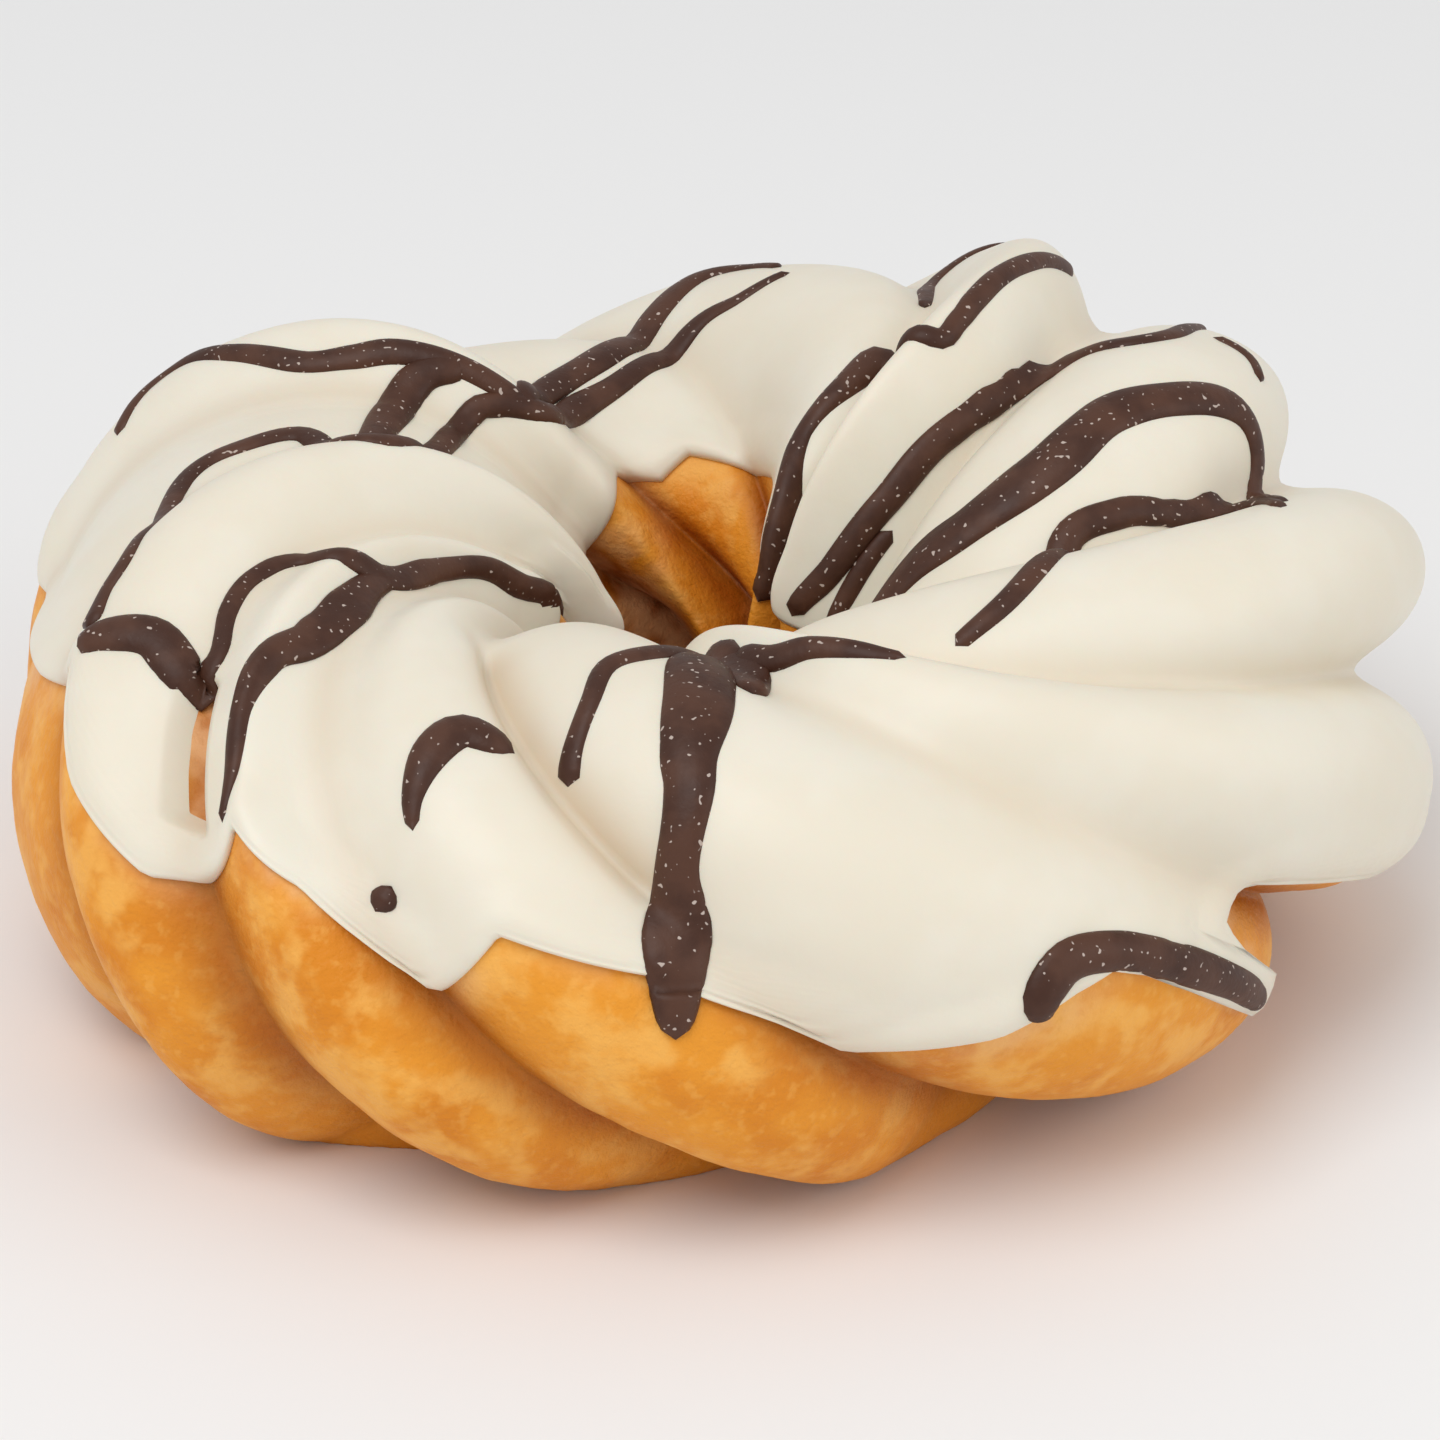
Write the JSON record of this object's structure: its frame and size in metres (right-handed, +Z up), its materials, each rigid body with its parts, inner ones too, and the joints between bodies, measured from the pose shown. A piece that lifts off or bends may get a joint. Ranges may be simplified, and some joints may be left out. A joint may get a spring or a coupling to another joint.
{
  "type": "iced choux ring",
  "caption": "Twisted fried choux ring with deep slanting ridges, cream vanilla icing over the top and sides, and fine raised lines of dark drizzle.",
  "frame": {"origin": "on the table, under the middle of the whole ring's box", "axes": "+Z up out of the table along the hole, -Y towards the side the picture shows in front, +X to the right in the picture"},
  "size_m": [0.1016, 0.1008, 0.0448],
  "materials": {
    "choux": "golden fried choux, slightly rough, with a soft greasy sheen",
    "icing": "smooth cream vanilla icing with a satin sheen, and dark chocolate drizzle on it"
  },
  "bodies": {
    "root": {"choux_ring": "choux", "vanilla_icing": "icing"}
  },
  "joints": []
}
